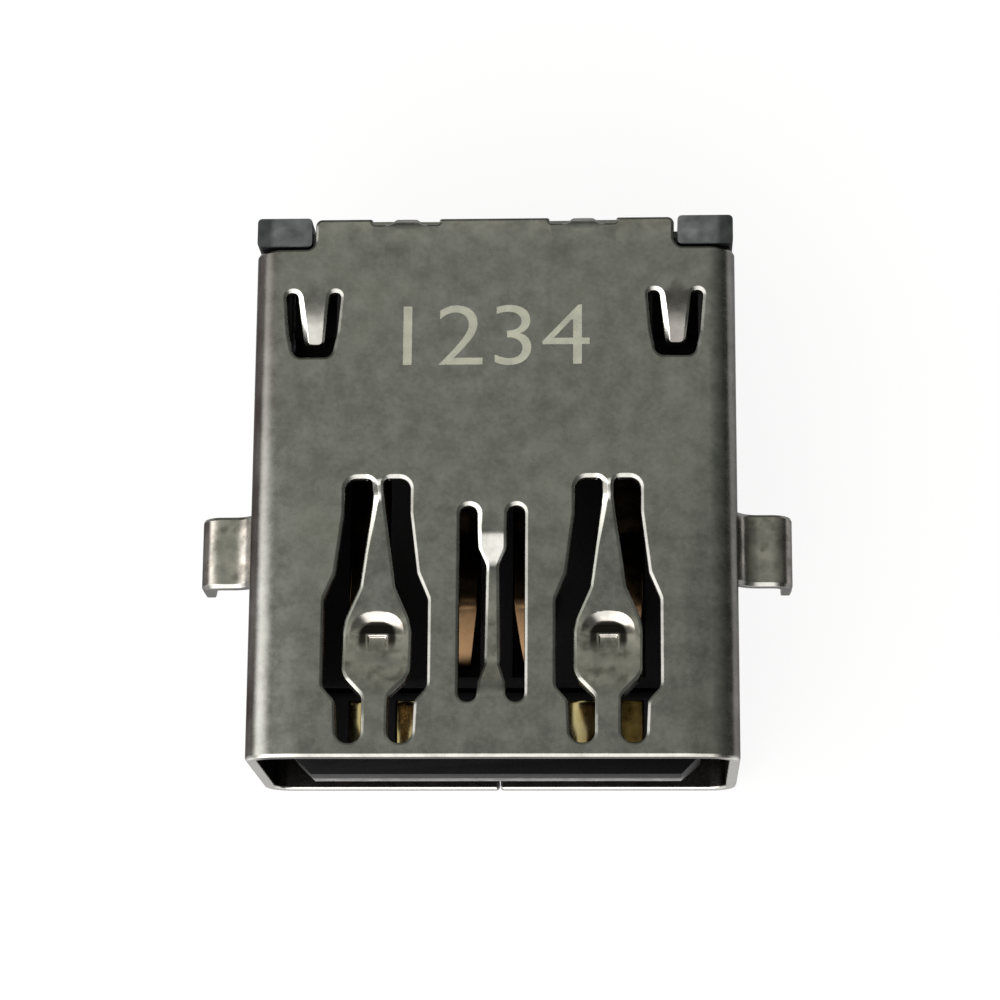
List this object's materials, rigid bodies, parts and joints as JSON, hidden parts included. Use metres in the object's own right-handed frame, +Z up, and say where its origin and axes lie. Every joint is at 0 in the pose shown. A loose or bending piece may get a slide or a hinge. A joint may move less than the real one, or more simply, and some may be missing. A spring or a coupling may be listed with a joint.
{
  "type": "usb type a receptacle",
  "caption": "Board-mounted type A USB receptacle in a folded steel shell with bowed springs, solder legs, a black tongue and gold contacts, sunk into a cut-out in the board.",
  "frame": {"origin": "middle of the bounding box at the underside of the bottom plate", "axes": "+Z up from the bottom plate to the top plate, -Y out of the mouth, +X to the right seen from above with the mouth towards the viewer"},
  "size_m": [0.0162, 0.015, 0.0057],
  "materials": {
    "shell_steel": "satin nickel plate on folded steel sheet",
    "black_moulding": "fine matt moulded thermoplastic",
    "gold_contact": "gold flash on copper alloy strip"
  },
  "bodies": {
    "root": {"shell": "shell_steel", "housing": "black_moulding", "fast_carrier": "black_moulding", "tail_spacer": "black_moulding", "contact_power": "gold_contact", "contact_data_minus": "gold_contact", "contact_data_plus": "gold_contact", "contact_ground": "gold_contact", "blade_1": "gold_contact", "blade_2": "gold_contact", "blade_3": "gold_contact", "blade_4": "gold_contact", "blade_5": "gold_contact"}
  },
  "joints": []
}
